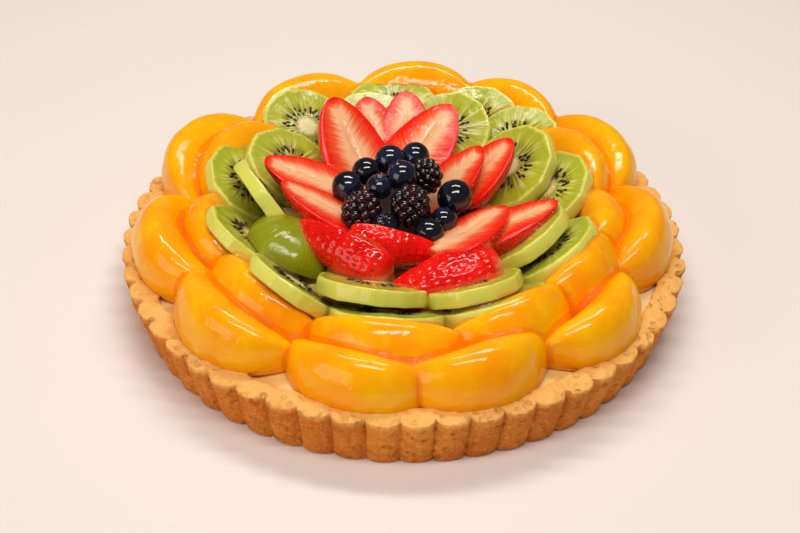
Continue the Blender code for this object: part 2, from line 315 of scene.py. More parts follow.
@dataclass
class Rings:
    """Rings of points that make a closed skin, with a point beyond each end ring."""

    rows: np.ndarray
    start: np.ndarray
    end: np.ndarray

    def normals(self) -> np.ndarray:
        """Work out the outward directions.

        Returns:
            A direction for each point of the rings, in rows.
        """
        around = np.roll(self.rows, -1, 1) - np.roll(self.rows, 1, 1)
        along = np.gradient(self.rows, axis=0)
        out = np.cross(around, along)
        out /= np.maximum(np.linalg.norm(out, axis=2, keepdims=True), 1e-9)
        middle = self.rows.reshape(-1, 3).mean(axis=0)
        if np.sum((self.rows - middle) * out) < 0:
            out = -out
        return out

    def swell(self, amount: np.ndarray) -> None:
        """Move the points out along their normals, by one amount each, in rows or flat."""
        self.rows = self.rows + self.normals() * amount.reshape(self.rows.shape[:2] + (1,))

    def flat(self) -> np.ndarray:
        """All points in one list, the end points last."""
        return np.vstack([self.rows.reshape(-1, 3), self.start, self.end])

    def faces(self) -> Faces:
        """Skin the rings with quads, and close the ends with triangles.

        Returns:
            The corner numbers of each face.
        """
        count, around = self.rows.shape[:2]
        index = np.arange(count * around).reshape(count, around)
        lower, upper = index[:-1], index[1:]
        quads = np.stack([lower, np.roll(lower, -1, 1), np.roll(upper, -1, 1), upper], -1)
        made = [tuple(quad) for quad in quads.reshape(-1, 4).tolist()]
        first, last = count * around, count * around + 1
        for left, right in zip(index[0].tolist(), np.roll(index[0], -1).tolist()):
            made.append((right, left, first))
        for left, right in zip(index[-1].tolist(), np.roll(index[-1], -1).tolist()):
            made.append((left, right, last))
        return made


def even_section(corners: np.ndarray, count: int, rounding: int) -> np.ndarray:
    """Space points evenly round a closed outline and round its corners.

    Args:
        corners: Points along the outline, one row each.
        count: How many points to give back.
        rounding: How many times each point moves towards its neighbours' middle.

    Returns:
        The new points, one row each.
    """
    closed = np.vstack([corners, corners[:1]])
    steps = np.linalg.norm(np.diff(closed, axis=0), axis=1)
    reach = np.concatenate([[0.0], np.cumsum(steps)])
    spots = np.linspace(0.0, reach[-1], count, endpoint=False)
    points = np.stack([np.interp(spots, reach, closed[:, axis]) for axis in range(closed.shape[1])], 1)
    for _ in range(rounding):
        points = 0.5 * points + 0.25 * (np.roll(points, 1, 0) + np.roll(points, -1, 0))
    return points


def make_piece(name: str, points: np.ndarray, faces: Faces, material: Material,
               matrix: Matrix | None = None, numbers: dict[str, np.ndarray] | None = None) -> Piece:
    """Turn points and faces into a smooth object that rides with the tart.

    Args:
        name: The object's name.
        points: Points in the piece's own axes.
        faces: Corner numbers of each face.
        material: The finish.
        matrix: The pose, from the piece's own axes to metres.
        numbers: Further values for the finish, one for each point.

    Returns:
        The object.
    """
    pose = np.array(matrix if matrix is not None else Matrix.Scale(MM, 4))
    world = points @ pose[:3, :3].T + pose[:3, 3]
    mesh = bpy.data.meshes.new(name)
    mesh.from_pydata(world.tolist(), [], faces)
    store = mesh.attributes.new("own", "FLOAT_VECTOR", "POINT")
    store.data.foreach_set("vector", points.astype(np.float32).ravel())
    for key, values in (numbers or {}).items():
        store = mesh.attributes.new(key, "FLOAT", "POINT")
        store.data.foreach_set("value", np.broadcast_to(values, len(points)).astype(np.float32))
    shape = bmesh.new()
    shape.from_mesh(mesh)
    bmesh.ops.recalc_face_normals(shape, faces=shape.faces)
    shape.to_mesh(mesh)
    shape.free()
    mesh.materials.append(material)
    mesh.shade_smooth()
    made = bpy.data.objects.new(name, mesh)
    bpy.context.scene.collection.objects.link(made)
    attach(made, BODY)
    return made


def ball(subdivisions: int) -> tuple[np.ndarray, Faces]:
    """Make a round bead of radius 1.

    Args:
        subdivisions: How fine it is.

    Returns:
        Its points and faces.
    """
    shape = bmesh.new()
    bmesh.ops.create_icosphere(shape, subdivisions=subdivisions, radius=1.0)
    points = np.array([vertex.co for vertex in shape.verts])
    faces = [tuple(vertex.index for vertex in face.verts) for face in shape.faces]
    shape.free()
    return points, faces


def scatter(grain: tuple[np.ndarray, Faces],
            poses: list[np.ndarray]) -> tuple[np.ndarray, Faces]:
    """Repeat one small shape at many poses, as one mesh.

    Args:
        grain: Points and faces of the shape.
        poses: A 4 by 4 matrix for each copy.

    Returns:
        Points and faces of all the copies.
    """
    points, faces = grain
    stack = np.array(poses)
    moved = np.einsum("nij,kj->nki", stack[:, :3, :3], points) + stack[:, None, :3, 3]
    corners = [tuple(corner + copy * len(points) for corner in face)
               for copy in range(len(poses)) for face in faces]
    return moved.reshape(-1, 3), corners


def standing(spot: np.ndarray, up: np.ndarray, lengthways: np.ndarray,
             sizes: Triple) -> np.ndarray:
    """Make a pose for a grain that lies on a surface.

    Args:
        spot: The grain's middle.
        up: The direction of its Z.
        lengthways: The direction that its Y keeps near to.
        sizes: Its scale along X, Y and Z.

    Returns:
        The pose, a 4 by 4 matrix.
    """
    up = up / np.linalg.norm(up)
    side = np.cross(lengthways, up)
    side /= max(np.linalg.norm(side), 1e-9)
    pose = np.eye(4)
    pose[:3, 0] = side * sizes[0]
    pose[:3, 1] = np.cross(up, side) * sizes[1]
    pose[:3, 2] = up * sizes[2]
    pose[:3, 3] = spot
    return pose


# ---- the layout


@dataclass(frozen=True)
class Lay:
    """Where a piece of fruit lies: millimetres and degrees.

    tilt raises the outer end, turn swings the piece about its own upright, wide stretches
    it across, and swing is how far the raised end points past the azimuth.
    """

    name: str
    azimuth: float
    radius: float
    height: float
    tilt: float = 30.0
    turn: float = 0.0
    size: float = 1.0
    wide: float = 1.0
    swing: float = 0.0

    def matrix(self) -> Matrix:
        """Work out the pose.

        Returns:
            The matrix from the fruit's own millimetres to metres on the tart.
        """
        turn = math.radians(180.0 + self.azimuth)
        spot = Vector((-math.sin(turn), math.cos(turn), 0.0)) * self.radius
        spot.z = self.height
        return (
            Matrix.Translation(spot * MM)
            @ Matrix.Rotation(turn + math.radians(self.swing), 4, "Z")
            @ Matrix.Rotation(math.radians(self.tilt), 4, "X")
            @ Matrix.Rotation(math.radians(self.turn), 4, "Z")
            @ Matrix.Diagonal((self.size * self.wide * MM, self.size * MM, self.size * MM, 1.0))
        )


def lay_out(group: str, *rows: tuple[float, ...]) -> tuple[Lay, ...]:
    """Number the pieces of a group, each given by a Lay's values after its name."""
    return tuple(Lay(f"{group}_{index + 1:02d}", *row) for index, row in enumerate(rows))


OUTER_PEACHES = lay_out(
    "peach_outer",
    (349, 105, 30.5, 18, -10, 1.05), (19, 104, 31.5, 18, 10, 1.12), (52, 106, 32, 16, 6),
    (85, 105, 34, 14, -4, 1.1), (122, 108, 33, 12, -4, 1.05), (151, 108, 34, 12, -6),
    (177, 109, 35, 12, 0, 1.05), (208, 107, 34, 12, 4, 1.05), (243, 108, 34, 12, 0, 1.1),
    (283, 106, 34, 14, 4, 1.08), (313, 105, 33, 14, -8, 1.1),
)

INNER_PEACHES = lay_out(
    "peach_inner",
    (355, 90, 35.5, 28, -4, 1.08), (34, 88, 36, 28, 6, 1.04), (62, 87, 38, 28),
    (84, 87, 38, 24, 0, 0.9), (117, 89, 38, 20), (243, 89, 38, 20), (281, 87, 38, 24, 0, 0.87),
    (313, 88, 36.5, 28, -6),
)

OUTER_KIWIS = lay_out(
    "kiwi_outer",
    (355, 71, 35.5, 32, 0, 1.12), (31, 72, 36, 34, 0, 1.1), (66, 70, 39, 40, 0, 1.05),
    (105, 68, 39, 36), (139, 79, 37, 28), (157, 82, 37, 26, 0, 1.05), (184, 88, 36, 16, 0, 1.05),
    (216, 81, 39, 34), (255, 74, 38.5, 36), (290, 71, 39, 42, 0, 1, 1, 5),
    (321, 73, 40, 46, 0, 1, 1, -12),
)

INNER_KIWIS = lay_out(
    "kiwi_inner",
    (348, 58, 39.5, 31, 0, 1.12), (28, 61, 39.5, 31, 0, 1.05), (66, 57, 42, 40),
    (121, 57, 43, 40, 0, 1.02), (162, 63, 42), (193, 65, 41, 22), (241, 60, 41),
    (271, 60, 43, 62, 0, 1, 1, 25),
)

KIWI_END = Lay("kiwi_end", 300, 53, 41, tilt=30)

STRAWBERRIES = lay_out(
    "strawberry",
    (17, 57, 42, 125, -97, 1.28, 0.7), (47, 40, 47, 20, 92, 1.12), (67, 51, 46, 26, 30, 1.1),
    (121, 27, 47, 38, 0, 0.92), (118, 41, 48, 38, 0, 0.92), (168, 45, 45.5, 38, -25, 1.1),
    (180, 56, 44, 38), (196, 55, 42.5, 38), (214, 46, 47.5, 40, 0, 1.17),
    (258, 46, 48, 22, 8, 0.97), (287, 39, 48, 26, -28, 0.97), (326, 47, 45.5, 72, -84, 1.2, 0.72),
    (354, 39, 47.5, 74, 100, 0.98, 0.75),
)

BRAMBLES = lay_out(
    "bramble",
    (315, 26, 52), (8, 18, 55, 40), (117, 10, 55, 10, 0, 0.9),
)

# Each blueberry: the solid that it belongs to, its azimuth, radius, height and size, and where
# its crown points, as an azimuth and a lift. The last one has no solid of its own.
BLUEBERRIES = (
    ("blueberries_back", 267, 25, 51, 1.05, 180, -30),
    ("blueberries_back", 239, 20, 53, 0.97, 150, -40),
    ("blueberries_back", 202, 18, 55, 1.05, 200, -20),
    ("blueberries_back", 169, 22, 54, 1, 120, -50),
    ("blueberries_right", 70, 23, 53, 1.2, 90, -40),
    ("blueberries_right", 40, 26, 49, 0.95, 60, -50),
    ("blueberries_right", 20, 31, 49, 1, 200, -60),
    ("blueberries_top", 332, 3, 60, 1.05, 245, 55),
    ("blueberries_top", 308, 14, 58, 0.87, 10, 82),
    ("", 343, 27, 50, 0.9, 330, 62),
)


# ---- finishes


class Finish(Enum):
    """Names of the tart's finishes."""

    CRUST = "crust"
    CUSTARD = "custard"
    PEACH = "peach"
    KIWI = "kiwi"
    STRAWBERRY = "strawberry"
    BLUEBERRY = "blueberry"
    BRAMBLE = "bramble"


@dataclass(frozen=True)
class CrustFinish:
    """Baked shortcrust: golden with random brown patches, painted shade darkening its pits, crumb dips and
    foot, and painted light paling its rim, which is also rougher.
    """

    gold: Tone = tone(236, 150, 54)
    # brown: the random brown patches, and also the painted shade in the pits, the dips of the crumb and the
    # foot.
    brown_patch_and_shade: Tone = tone(208, 112, 24)
    # pale: the random pale specks, and also the painted light on the top of the rim.
    pale_speck_and_rim_light: Tone = tone(254, 198, 112)
    crumb: float = 0.0017
    patch_scale: float = 28.0
    grain_scale: float = 320.0
    speck_scale: float = 700.0
    pit_scale: float = 210.0
    # Heights over which the top of the rim is painted paler, as painted light.
    rim_light_heights: tuple[float, float] = (0.022, 0.0272)
    # Height below which the crust is painted browner, as painted shade at its bottom.
    foot_height: float = 0.006

    def make(self) -> Material:
        """Make the crust's material.

        Returns:
            The material.
        """
        paint = Paint("crust_baked", Roughness=0.85, Specular_IOR_Level=0.25, Subsurface_Weight=0.12,
                      Subsurface_Radius=(1.0, 0.5, 0.25), Subsurface_Scale=0.002)
        place = paint.place()
        height = paint.axes(place)[2]
        patches = paint.noise(place, self.patch_scale, 3.0)
        grains = paint.noise(place, self.grain_scale, 4.0, 0.65)
        specks = paint.noise(place, self.speck_scale, 2.0, 0.6)
        pits = paint.cells(place, self.pit_scale).within(0.05, 0.4)
        colour = paint.blend((patches * 1.5 - 0.35).within(0.1, 0.9), self.brown_patch_and_shade, self.gold)
        # Painted shade: the pits are painted browner.
        colour = paint.blend(pits * -0.5 + 0.5, colour, self.brown_patch_and_shade)
        # Painted shade: the dips of the crumb, where its relief is low, are painted browner.
        colour = paint.blend(grains.within(0.5, 0.36) * 0.6, colour, self.brown_patch_and_shade)
        colour = paint.blend(specks.within(0.52, 0.72) * 0.4, colour, self.pale_speck_and_rim_light)
        # Painted light: the top of the rim is painted paler.
        colour = paint.blend(height.within(*self.rim_light_heights) * 0.75, colour, self.pale_speck_and_rim_light)
        # Painted shade: the bottom of the crust is painted browner.
        colour = paint.blend(height.within(self.foot_height, 0.0) * 0.35, colour, self.brown_patch_and_shade)
        paint.feed("Base Color", colour)
        paint.relief(grains * 0.8 + specks * 0.2 + pits * 0.7, self.crumb)
        return paint.material


@dataclass(frozen=True)
class CustardFinish:
    """Set pastry cream, with painted shade between the berries in the middle."""

    cream: Tone = tone(247, 221, 160)
    deep: Tone = tone(238, 196, 118)
    # Painted shade: a near-black tone where the berries in the middle shade the custard.
    painted_shade: Tone = tone(26, 4, 8)
    painted_shade_radius: float = 0.04
    painted_shade_fade: float = 0.008
    lump_scale: float = 60.0
    lump_height: float = 0.0006

    def make(self) -> Material:
        """Make the custard's material.

        Returns:
            The material.
        """
        paint = Paint("custard_set", Roughness=0.35, Coat_Weight=0.5, Coat_Roughness=0.08,
                      Subsurface_Weight=0.2, Subsurface_Radius=(1.0, 0.7, 0.3), Subsurface_Scale=0.003)
        lumps = paint.noise(paint.place(), self.lump_scale, 3.0)
        uneven_reach = paint.reach() + (lumps - 0.5) * 0.012
        # Painted shade: the custard within this radius is painted near-black.
        shaded_middle = uneven_reach.within(self.painted_shade_radius, self.painted_shade_radius - self.painted_shade_fade)
        colour = paint.blend(lumps.within(0.35, 0.65), self.deep, self.cream)
        paint.feed("Base Color", paint.blend(shaded_middle, colour, self.painted_shade))
        paint.relief(lumps, self.lump_height)
        return paint.material


@dataclass(frozen=True)
class PeachFinish:
    """Canned peach: clear orange-yellow flesh, with a painted highlight along the ridges and tips where its
    cuts meet the skin, under wet glaze.
    """

    flesh: Tone = tone(255, 180, 0)
    deep: Tone = tone(255, 154, 0)
    # A paler yellow for random fibres, and also the painted highlight along the ridges and tips.
    pale_fibre_and_highlight: Tone = tone(255, 204, 28)
    fibre_scale: float = 0.16
    cloud_scale: float = 45.0

    def make(self) -> Material:
        """Make the peaches' material.

        Returns:
            The material.
        """
        paint = Paint("peach_glazed", Specular_IOR_Level=0.3, Subsurface_Weight=0.25,
                      Subsurface_Radius=(1.0, 0.45, 0.05), Subsurface_Scale=0.005)
        fibres = paint.noise(paint.own(), self.fibre_scale, 4.0, 0.6)
        clouds = paint.noise(paint.place(), self.cloud_scale, 2.0)
        colour = paint.blend(clouds.within(0.3, 0.7), self.flesh, self.deep)
        # Painted highlight: the ridges and tips are painted paler.
        colour = paint.blend(paint.number("edge").within(0.6, 1.0) * 0.4, colour, self.pale_fibre_and_highlight)
        colour = paint.blend(fibres.within(0.5, 0.75) * 0.35, colour, self.pale_fibre_and_highlight)
        paint.feed("Base Color", colour)
        paint.wet(0.03, 0.1)
        return paint.material


@dataclass(frozen=True)
class KiwiFinish:
    """Kiwi flesh: a pale core, a dark ring between pale rays, and an edge painted lighter green as painted
    light.
    """

    name: str = "kiwi_glazed"
    core: Tone = tone(232, 218, 160)
    ring: Tone = tone(132, 128, 26)
    flesh: Tone = tone(172, 176, 40)
    ray: Tone = tone(216, 206, 108)
    # Painted light: a lighter tone on the rim, standing in for light shining through its dim sides.
    side: Tone = tone(214, 212, 92)
    rays: float = 9.0
    fine_rays: float = 26.0
    mark_shift: float = 40.0

    def make(self) -> Material:
        """Make the kiwis' material.

        Returns:
            The material.
        """
        paint = Paint(self.name, Specular_IOR_Level=0.5, Subsurface_Weight=0.2,
                      Subsurface_Radius=(1.0, 0.9, 0.25), Subsurface_Scale=0.003)
        x, y, _ = paint.axes(paint.own())
        share = paint.number("edge")
        shift = paint.number("mark") * self.mark_shift
        way = paint.node("ShaderNodeVectorMath", {"operation": "NORMALIZE"}, {0: paint.vector(x, y, 0.0)})
        wx, wy, _ = paint.axes(way)
        rays = paint.noise(paint.vector(wx * self.rays, wy * self.rays, share * 1.2 + shift), 1.0, 2.0)
        finer = paint.vector(wx * self.fine_rays, wy * self.fine_rays, share * 2.5 + shift)
        fine = paint.noise(finer, 1.0, 2.0)
        # The last stop paints the rim with the side tone, as painted light.
        colour = paint.ramp(share + (rays - 0.5) * 0.14, [
            (0.0, self.core), (0.17, self.core), (0.27, self.ring), (0.48, self.ring),
            (0.66, self.flesh), (0.9, self.flesh), (0.97, self.side)])
        band = share.within(0.2, 0.34) * share.within(0.9, 0.6)
        colour = paint.blend(rays.within(0.48, 0.62) * band * 0.85, colour, self.ray)
        colour = paint.blend(fine.within(0.5, 0.68) * 0.3, colour, self.ray)
        paint.feed("Base Color", colour)
        paint.wet(0.08, 0.3, rays * 0.35 + fine * 0.25)
        return paint.material


@dataclass(frozen=True)
class StrawberryFinish:
    """Strawberry: red skin, and a cut face that pales from a red rim to a whitish core."""

    skin: Tone = tone(248, 14, 4)
    dark: Tone = tone(214, 4, 2)
    rim: Tone = tone(240, 30, 8)
    salmon: Tone = tone(244, 92, 46)
    core: Tone = tone(250, 186, 138)
    cloud_scale: float = 70.0
    mark_shift: float = 50.0

    def make(self) -> Material:
        """Make the strawberries' material.

        Returns:
            The material.
        """
        paint = Paint("strawberry_glazed", Specular_IOR_Level=0.45, Subsurface_Weight=0.15,
                      Subsurface_Radius=(1.0, 0.3, 0.15), Subsurface_Scale=0.003)
        x, y, _ = paint.axes(paint.own())
        across = paint.number("edge")
        face = paint.number("face")
        slant = y - x.size() * 0.7
        shift = paint.number("mark") * self.mark_shift
        rays = paint.noise(paint.vector(across * 0.9, slant * 0.75, shift), 1.0, 3.0, 0.6)
        cloud = paint.noise(paint.place(), self.cloud_scale, 2.0)
        spread = across + (rays - 0.5) * 0.6 + (cloud - 0.5) * 0.25
        cut = paint.ramp(spread, [(0.0, self.core), (0.2, self.core), (0.5, self.salmon),
                                  (0.8, self.rim), (1.0, self.skin)])
        skin = paint.blend(cloud.within(0.3, 0.7), self.dark, self.skin)
        paint.feed("Base Color", paint.blend(face, skin, cut))
        paint.wet(0.05, 0.2, rays * face * 0.5)
        return paint.material


@dataclass(frozen=True)
class DarkBerryFinish:
    """A near-black glossy skin with patches of a second tone."""

    name: str
    base: Tone
    second: Tone
    patch_scale: float
    roughness: float
    dimple_scale: float = 260.0
    dimple_height: float = 0.00015

    def make(self) -> Material:
        """Make the berries' material.

        Returns:
            The material.
        """
        paint = Paint(self.name, Roughness=self.roughness, Specular_IOR_Level=0.7)
        patches = paint.noise(paint.place(), self.patch_scale, 3.0)
        paint.feed("Base Color", paint.blend(patches.within(0.42, 0.68), self.base, self.second))
        paint.relief(paint.noise(paint.place(), self.dimple_scale, 2.0), self.dimple_height, 0.6)
        return paint.material


@dataclass(frozen=True)
class GrainFinish:
    """Seeds and other small grains, each a little lighter or darker."""

    name: str
    base: Tone
    second: Tone
    roughness: float = 0.3
    patch_scale: float = 600.0

    def make(self) -> Material:
        """Make the grains' material.

        Returns:
            The material.
        """
        paint = Paint(self.name, Roughness=self.roughness, Specular_IOR_Level=0.4)
        patches = paint.noise(paint.place(), self.patch_scale, 2.0)
        paint.feed("Base Color", paint.blend(patches.within(0.4, 0.6), self.base, self.second))
        return paint.material


@dataclass(frozen=True)
class GlazeFinish:
    """Clear glaze, orange-red where it has run down between the peaches."""

    deep: Tone = tone(255, 120, 0)
    clear: Tone = tone(255, 214, 130)
    peach_radius: float = 0.074
    peach_fade: float = 0.012
    ripple_scale: float = 260.0
    ripple_height: float = 0.0004

    def make(self) -> Material:
        """Make the glaze's material, a see-through body that shines as wet glaze does.

        Returns:
            The material.
        """
        paint = Paint("glaze_wet", Roughness=0.04, Specular_IOR_Level=0.7)
        near_peaches = paint.reach().within(self.peach_radius, self.peach_radius + self.peach_fade)
        paint.feed("Base Color", paint.blend(near_peaches, self.clear, self.deep))
        paint.relief(paint.noise(paint.place(), self.ripple_scale, 2.0), self.ripple_height, 0.5)
        see_through = paint.node("ShaderNodeBsdfTransparent", sockets={"Color": (1.0, 0.93, 0.82, 1.0)})
        rim = paint.node("ShaderNodeLayerWeight", sockets={"Blend": 0.35}, output="Facing")
        body = near_peaches * 0.1 + 0.03 + rim * 0.15
        mixed = paint.node("ShaderNodeMixShader", sockets={
            0: body, 1: see_through, 2: Link(paint, paint.shader.outputs[0])})
        paint.tree.links.new(mixed.socket, paint.tree.nodes["Material Output"].inputs["Surface"])
        return paint.material


# ---- crust and custard


def circles(radius: np.ndarray, height: np.ndarray, angle: np.ndarray) -> np.ndarray:
    """Set points on circles.

    Args:
        radius: Radii, one row for each circle.
        height: Heights, one row for each circle.
        angle: Angles of the points, from the front towards +X.

    Returns:
        The points, in rows.
    """
    east = radius * np.sin(angle)
    return np.stack([east, -radius * np.cos(angle), np.broadcast_to(height, east.shape)], 2)


@dataclass
class Crust:
    """The shell: a flat underside, a flared fluted wall, a soft crumbly rim and a plain inside."""

    rim_radius: float = 125.0
    foot_radius: float = 118.0
    height: float = 27.0
    heel: float = 0.6
    flutes: int = 55
    flute_depth: float = 3.9
    flute_steps: int = 22
    flute_roundness: float = 0.6
    foot_share: float = 0.6
    inner_top: float = 113.0
    inner_foot: float = 111.0
    base_thickness: float = 5.5
    lip_drop: float = 1.8
    underside: Sizes = ((40, 0), (80, 0), (108, 0), (115, 0.4), (117, 0.6))
    floor_radii: tuple[float, ...] = (100, 60, 20)
    wall_steps: int = 30
    lip_steps: int = 17
    inside_steps: int = 8
    lumps: Sizes = ((0.4, 7.0), (0.3, 2.4), (0.2, 1.1))
    rim_lumps: float = 0.45
    rim_waves: float = 0.3
    rim_band: tuple[float, float] = (4.5, 3.5)
    pit_size: float = 2.2
    pit_threshold: float = 0.35
    pit_depth: float = 1.6
    shrink: float = 0.3
    margin: float = 0.5
    seed: int = 3

    def profile(self) -> np.ndarray:
        """Draw the section, from the middle of the underside to the middle of the inside.

        Returns:
            Radius, height and share of the flutes, one row for each point.
        """
        top = self.height - self.lip_drop
        wall = np.linspace(0.0, 1.0, self.wall_steps)
        outer = np.stack([
            self.foot_radius + (self.rim_radius - self.foot_radius) * wall,
            self.heel + (top - self.heel) * wall,
            self.foot_share + (1 - self.foot_share) * wall,
        ], 1)
        middle = (self.rim_radius + self.inner_top) / 2
        half = (self.rim_radius - self.inner_top) / 2
        lean = np.linspace(0.0, math.pi, self.lip_steps)[1:-1]
        lip = np.stack([
            middle + half * np.sign(np.cos(lean)) * np.abs(np.cos(lean)) ** 0.7,
            top + self.lip_drop * np.sin(lean) ** 0.8,
            np.clip(0.62 + 0.5 * np.cos(lean), 0, 1),
        ], 1)
        inner = np.stack([
            np.linspace(self.inner_top, self.inner_foot, self.inside_steps),
            np.linspace(top, self.base_thickness, self.inside_steps),
            np.zeros(self.inside_steps),
        ], 1)
        under = [(radius, 0.0, share) for radius, share in self.underside]
        floor = [(radius, self.base_thickness, 0.0) for radius in self.floor_radii]
        return np.vstack([under, outer, lip, inner, floor])

    def crumble(self, flat: np.ndarray) -> np.ndarray:
        """Work out how far the baked surface stands out from the smooth one.

        Args:
            flat: Points of the smooth surface.

        Returns:
            An amount for each point, none of which passes the rim's radius.
        """
        rough = Unevenness(self.seed)
        pits = np.maximum(0.0, rough.at(flat + 50, self.pit_size) - self.pit_threshold) * self.pit_depth
        below, deep = self.rim_band
        top = np.clip((flat[:, 2] - self.height + below) / deep, 0, 1)
        rim = top * (self.rim_lumps * rough.at(flat + 9, 3.2) + self.rim_waves * rough.at(flat, 9.0) - 0.25)
        lifted = np.clip(flat[:, 2] / 1.5, 0, 1)
        amount = (rough.mixed(flat, self.lumps) - pits) * lifted + rim - self.shrink
        room = np.clip(self.rim_radius - self.margin - np.hypot(flat[:, 0], flat[:, 1]), 0.0, 1.0)
        return np.where(flat[:, 2] < 0.01, 0.0, np.minimum(amount, room + 0.1))

    def build(self, material: Material) -> Piece:
        """Build the crust.

        Args:
            material: Its finish.

        Returns:
            The shell.
        """
        profile = self.profile()
        angle = np.linspace(0.0, math.tau, self.flutes * self.flute_steps, endpoint=False)
        wave = np.abs(np.sin(angle * self.flutes / 2))
        ridge = np.sqrt(1 - (1 - wave) ** 2) * self.flute_roundness + (1 - self.flute_roundness) * wave
        radius = profile[:, :1] - self.flute_depth * profile[:, 2:] * (1 - ridge)
        rows = circles(radius, profile[:, 1:2], angle)
        rings = Rings(rows, np.array([0, 0, 0.0]), np.array([0, 0, self.base_thickness]))
        rings.swell(self.crumble(rows.reshape(-1, 3)))
        made = make_piece("crust_shell", rings.flat(), rings.faces(), material)
        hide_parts("crust")
        return made


@dataclass
class Custard:
    """The pastry cream that fills the shell."""

    edge_radius: float = 114.0
    foot_radius: float = 112.0
    foot_height: float = 6.0
    edge_height: float = 23.0
    dome: float = 12.5
    dome_power: float = 1.3
    around: int = 240
    top_rings: int = 60
    foot_rings: tuple[float, ...] = (60, 100)
    waves: Sizes = ((0.7, 14.0), (0.3, 5.0))
    seed: int = 5

    def top(self, radius: np.ndarray) -> np.ndarray:
        """Height of the domed top at a radius."""
        share = np.minimum(1, radius / self.edge_radius)
        return self.edge_height + self.dome * (1 - share ** 2) ** self.dome_power

    def build(self, material: Material) -> Piece:
        """Build the custard.

        Args:
            material: Its finish.

        Returns:
            The filling.
        """
        angle = np.linspace(0.0, math.tau, self.around, endpoint=False)
        foot = [*self.foot_rings, self.foot_radius]
        radii = np.concatenate([foot, np.linspace(self.edge_radius, 6.0, self.top_rings)])
        heights = np.concatenate([[self.foot_height] * len(foot), self.top(radii[len(foot):])])
        rows = circles(radii[:, None], heights[:, None], angle)
        flat = rows.reshape(-1, 3)
        fade = np.clip((self.edge_radius - np.hypot(flat[:, 0], flat[:, 1])) / 3, 0, 1)
        rise = Unevenness(self.seed).mixed(flat, self.waves) * fade * (flat[:, 2] > 20)
        rows[:, :, 2] += rise.reshape(rows.shape[:2])
        rings = Rings(rows, np.array([0, 0, self.foot_height]),
                      np.array([0, 0, self.edge_height + self.dome]))
        made = make_piece("custard_filling", rings.flat(), rings.faces(), material)
        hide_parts("custard")
        return made


# ---- fruit


Shaped = tuple[Rings, dict[str, np.ndarray]]


@dataclass
class Fruit:
    """A piece of fruit in its place, with the unevenness of its skin."""

    lay: Lay
    seed: int
    ending: str = "_slice"
    uneven: Sizes = ()

    def skin(self, rings: Rings) -> np.ndarray:
        """Unevenness of the skin at the rings' points."""
        return Unevenness(self.seed).mixed(rings.rows.reshape(-1, 3), self.uneven)

    def shape(self) -> Shaped:
        """Shape the piece in its own millimetres, which each kind of fruit does in its way.

        Returns:
            The skin, and values for the finish at its points.
        """
        raise NotImplementedError

    def build(self, material: Material) -> Piece:
        """Build the piece in the place of its solid.

        Args:
            material: Its finish.

        Returns:
            The piece.
        """
        rings, numbers = self.shape()
        made = make_piece(self.lay.name + self.ending, rings.flat(), rings.faces(), material,
                          self.lay.matrix(), numbers)
        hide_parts(self.lay.name)
        return made


@dataclass
class Peach(Fruit):
    """A peach segment: rounded skin outwards, two cuts, and the stone's hollow inside."""

    uneven: Sizes = ((0.8, 21.0), (0.25, 7.0))
    length: float = 62.0
    radius: float = 33.0
    half_angle: float = 29.0
    fullness: float = 0.8
    middle: float = 0.66
    pit: float = 0.36
    pit_length: float = 0.68
    thin_edge: float = 0.05
    bow: float = 0.03
    last_lean: float = 87.0
    rounding: int = 64
    plumpness: float = 0.9
    around: int = 72
    along: int = 56

    def outline(self, lean: float) -> np.ndarray:
        """Draw one section across the segment.

        Args:
            lean: How far along the segment it is, as an angle from the middle.

        Returns:
            Corners: the skin's arc, then the two cuts that meet at the stone's hollow.
        """
        half = math.radians(self.half_angle)
        skin = self.radius * math.cos(lean) ** self.fullness
        hollow = max(0.0, 1 - (math.sin(lean) / self.pit_length) ** 2) ** 0.5
        inner = min(self.radius * max(self.thin_edge, self.pit * hollow), 0.5 * skin)
        arc = np.linspace(-half, half, 40)
        reach = skin * (1 + self.bow * np.cos(arc / half * math.pi / 2))
        cuts = [(inner * math.cos(half * 0.9), inner * math.sin(half * 0.9)), (inner * 0.92, 0.0),
                (inner * math.cos(half * 0.9), -inner * math.sin(half * 0.9))]
        return np.vstack([np.stack([reach * np.cos(arc), reach * np.sin(arc)], 1), cuts])

    def shape(self) -> Shaped:
        """Shape the segment.

        Returns:
            The skin, and how near each point is to a cut edge.
        """
        rows, edges = [], []
        for lean in np.radians(np.linspace(-self.last_lean, self.last_lean, self.along)):
            section = even_section(self.outline(lean), self.around, self.rounding)
            depth = np.linalg.norm(section, axis=1) / (self.radius * math.cos(lean) ** self.fullness)
            side = np.abs(np.arctan2(section[:, 1], section[:, 0])) / math.radians(self.half_angle)
            edges.append(np.clip(side, 0, 1) * np.clip(depth, 0, 1))
            along = np.full(self.around, self.length / 2 * math.sin(lean))
            rows.append(np.stack([along, section[:, 0] - self.radius * self.middle, section[:, 1]], 1))
        rows = np.array(rows)
        start, end = rows[0].mean(axis=0), rows[-1].mean(axis=0)
        shift = np.array([self.length * 0.003, 0, 0])
        rings = Rings(rows, start - shift, end + shift)
        rings.swell(self.plumpness + self.skin(rings))
        return rings, {"edge": np.append(np.ravel(edges), [1.0, 1.0])}


